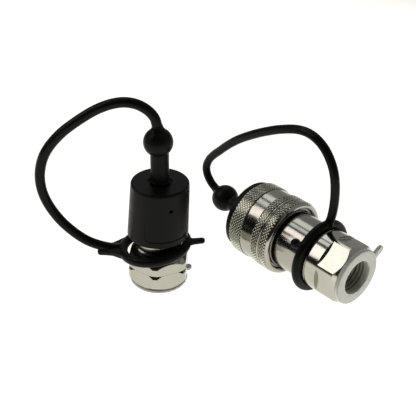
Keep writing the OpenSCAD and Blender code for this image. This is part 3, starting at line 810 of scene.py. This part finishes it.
def dust_cap():
    """Cap that tapers to its top, with a hole for the toggle's stem and a lip that snaps in."""
    columns = 320
    low_r, top_r = 14.24, 13.35
    foot = CAP_LOW + 0.5
    rows = [(11.3, foot + 0.4), (11.7, foot), (low_r - 0.5, foot), (low_r - 0.1, foot + 0.15),
            (low_r, foot + 0.5)]
    side = np.arange(foot + 0.9, CAP_TOP - 1.2, 0.3)
    rows += [(low_r + (top_r - low_r) * (z - CAP_LOW) / (CAP_TOP - CAP_LOW), z) for z in side]
    for i in range(7):
        t = math.pi / 2 * i / 6
        rows.append((top_r - 1.1 + 1.1 * math.cos(t), CAP_TOP - 1.1 + 1.1 * math.sin(t)))
    mouth = [(11.0, 0), (7.0, 0), (5.9, 0), (5.6, 0.12), (5.45, 0.8), (4.9, 0.85), (4.5, 0.9), (4.35, 1.2),
             (4.3, 2)]
    rows += [(r, CAP_TOP - deep) for r, deep in mouth] + [(4.3, 50.2)]
    points = []
    for r, z in rows:
        for k in range(columns):
            a = TAU * k / columns
            depth = panel_depth(a, z) if r > 13 and CAP_LOW + 1 < z < CAP_TOP - 2 else 0
            points.append(((r - depth) * math.cos(a), (r - depth) * math.sin(a), z))
    outside = Shape().add(points, grid_faces(len(rows), columns))
    inside = turned([(4.3, 50.2), (11.3, 50.2), (11.3, 36), (10.33, 35.1), (10.33, 34.3), (11.3, 33.5),
                     (11.3, foot + 0.4)], 128, closed=False)
    cap = leaned(join(outside, inside).moved(LANYARD.inverted()), CAP_LEAN).moved(LANYARD)
    return cap.object("dust_cap_moulded", sharp=40)


finish_piece(dust_cap(), COVER, "dust_cap", "dust_cap")

CAP_BALL = 73.3
cap_neck = (CAP_STRAP_ROUTE[0][0], 0, CAP_STRAP_ROUTE[0][1])
bead = ring(4.3, 0.5, 64, 12).moved(Matrix.Translation((0, 0, 53.9)))
cap_end = join(toggle(49.2, CAP_BALL, cap_neck, CAP_STRAP_D, -0.5), bead)
cap_end = leaned(cap_end, STEM_LEAN).moved(LANYARD)
finish_piece(blended(cap_end, "cap_toggle_moulded", 0.28, 6), COVER, "cap_toggle",
             "cap_toggle")


def mirrored(half_outline):
    """A closed outline from its half on the +y side."""
    return half_outline + [(x, -y) for x, y in reversed(half_outline)]


def plate(outline, thickness, inset):
    """A flat plate with softened edges from an outline of (x, y) points."""
    points = []
    count = len(outline)
    centre = np.mean(np.array(outline, float), axis=0)
    half = thickness / 2
    layers = [(-half, inset), (inset - half, 0), (half - inset, 0), (half, inset)]
    for z, shrink in layers:
        for p in outline:
            d = centre - np.array(p, float)
            q = np.array(p, float) + d / max(np.linalg.norm(d), 1e-6) * shrink
            points.append((q[0], q[1], z))
    shape = Shape().add(points, grid_faces(len(layers), count))
    shape.faces.append(tuple(reversed(range(count))))
    shape.faces.append(tuple((len(layers) - 1) * count + k for k in range(count)))
    return shape


CAP_RING_PLACE = (LANYARD @ Matrix.Translation((-1.8, 0, 18.5))
                  @ Matrix.Rotation(math.radians(-9.3), 4, "Y")
                  @ Matrix.Rotation(math.radians(-2.5), 4, "X"))


def cap_ring():
    """Lanyard ring with a flat web towards the strap and a pull tab on the other side."""
    hoop = ring(15.3, 2.15, tall=1.08)
    web = plate(mirrored([(-13.2, 9.2), (-15.5, 7.8), (-18, 6.0), (-20.6, 4.4), (-24.2, 3.1),
                          (-27.5, 2.2)]), 3.3, 0.8)
    tip = round_end(22.3, 1.55, 13)
    tab = plate([(15.5, 3.0), (16.8, 2.1), (18.2, 1.6)] + tip
                + [(18.2, -1.6), (16.8, -2.1), (15.5, -3.0)], 2.3, 0.5)
    return join(hoop, web, tab).moved(CAP_RING_PLACE)


finish_piece(blended(cap_ring(), "cap_ring_moulded", 0.3, 5), COVER, "male",
             "cap_ring")


# ---------------------------------------------------------------------------------------
# CAD parts that are shown as they are
# ---------------------------------------------------------------------------------------

CAD_MATERIALS = {
    "socket_body": ZINC_BODY, "female_adapter": ZINC_FEMALE, "female_poppet": ZINC_FEMALE,
    "female_guide": ZINC_FEMALE,
    "nipple": ZINC_MALE, "male_adapter": ZINC_MALE, "male_poppet": ZINC_MALE, "male_guide": ZINC_MALE,
    "spring_washer": SPRING, "front_snap_ring": SPRING, "rear_snap_ring": SPRING,
    "nose_oring": SEAL, "female_poppet_seal": SEAL, "male_poppet_seal": SEAL,
    "female_joint_oring": SEAL, "male_joint_oring": SEAL, "backup_ring": PTFE,
    **{f"ball_{i}": BALL for i in range(1, 9)},
}
for node, material in CAD_MATERIALS.items():
    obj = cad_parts[node]
    if not obj.material_slots:
        obj.data.materials.append(material)
    for slot in obj.material_slots:
        slot.material = material


# ---------------------------------------------------------------------------------------
# Floor, light and world
# ---------------------------------------------------------------------------------------

def make_floor():
    """A floor that glows as painted light: white where the object lies, a painted pool of light that is
    brighter in front, and dark far away.
    """
    half = 2.5
    corners = [(-half, -half, 0), (half, -half, 0), (half, half, 0), (-half, half, 0)]
    mesh = bpy.data.meshes.new("floor")
    mesh.from_pydata(corners, [], [(0, 1, 2, 3)])
    floor = bpy.data.objects.new("floor", mesh)
    floor.location.z = -0.0001
    bpy.context.scene.collection.objects.link(floor)
    n = Nodes("floor_white")
    n.shader.inputs["Base Color"].default_value = (0.12, 0.12, 0.12, 1)
    n.shader.inputs["Roughness"].default_value = 0.9
    n.shader.inputs["Specular IOR Level"].default_value = 0.0
    n.shader.inputs["Emission Color"].default_value = (1, 0.985, 0.93, 1)
    # Painted light: the floor's glow is brighter towards the front and fades out far from the object.
    front = math.radians(-35)
    toward = n.add("ShaderNodeVectorMath", operation="DOT_PRODUCT")
    toward.inputs[1].default_value = (math.cos(front), math.sin(front), 0)
    n.link(n.coordinates, "Object", toward, 0)
    near = n.range(toward, "Value", -0.02, 0.12, 1.06, 1.5)
    far = n.add("ShaderNodeVectorMath", operation="LENGTH")
    n.link(n.coordinates, "Object", far, 0)
    fade = n.range(far, "Value", 0.45, 0.8, 1.0, 0.0)
    painted_floor_glow = n.add("ShaderNodeMath", operation="MULTIPLY")
    n.link(near, "Result", painted_floor_glow, 0)
    n.link(fade, "Result", painted_floor_glow, 1)
    n.link(painted_floor_glow, "Value", n.shader, "Emission Strength")
    floor.data.materials.append(n.material)


def make_light(name, azimuth, elevation, distance, size, radiance, colour):
    """A rectangular soft box that looks at the object, with a given brightness of its face."""
    data = bpy.data.lights.new(name, "AREA")
    data.shape = "RECTANGLE"
    data.size, data.size_y = size
    data.energy = radiance * math.pi * size[0] * size[1]
    data.color = colour
    light = bpy.data.objects.new(name, data)
    a, e = math.radians(azimuth), math.radians(elevation)
    centre = Vector((0.055, 0.05, 0.02))
    out = Vector((math.cos(a) * math.cos(e), math.sin(a) * math.cos(e), math.sin(e)))
    light.location = centre + out * distance
    light.rotation_euler = out.to_track_quat("Z", "Y").to_euler()
    bpy.context.scene.collection.objects.link(light)


def make_world():
    """Grey room, which gets dark towards one side."""
    world = bpy.data.worlds.new("room")
    bpy.context.scene.world = world
    world.use_nodes = True
    tree = world.node_tree
    tree.nodes.clear()
    out = tree.nodes.new("ShaderNodeOutputWorld")
    back = tree.nodes.new("ShaderNodeBackground")
    coords = tree.nodes.new("ShaderNodeTexCoord")
    dot = tree.nodes.new("ShaderNodeVectorMath")
    dot.operation = "DOT_PRODUCT"
    side = math.radians(265)
    dot.inputs[1].default_value = (math.cos(side), math.sin(side), -0.1)
    fall = tree.nodes.new("ShaderNodeMapRange")
    for key, value in (("From Min", -0.5), ("From Max", 0.3), ("To Min", 0.4), ("To Max", 0.02)):
        fall.inputs[key].default_value = value
    links = tree.links
    links.new(coords.outputs["Generated"], dot.inputs[0])
    links.new(dot.outputs["Value"], fall.inputs["Value"])
    links.new(fall.outputs["Result"], back.inputs["Strength"])
    links.new(back.outputs["Background"], out.inputs["Surface"])


make_floor()
make_light("left_soft_box", 224, 37, 0.62, (0.31, 0.40), 2.6, (1.0, 0.94, 0.95))
make_light("upper_soft_box", 162, 56, 0.8, (0.48, 0.44), 1.25, (0.95, 1.0, 1.04))
make_world()
bpy.context.scene.view_settings.view_transform = "Standard"
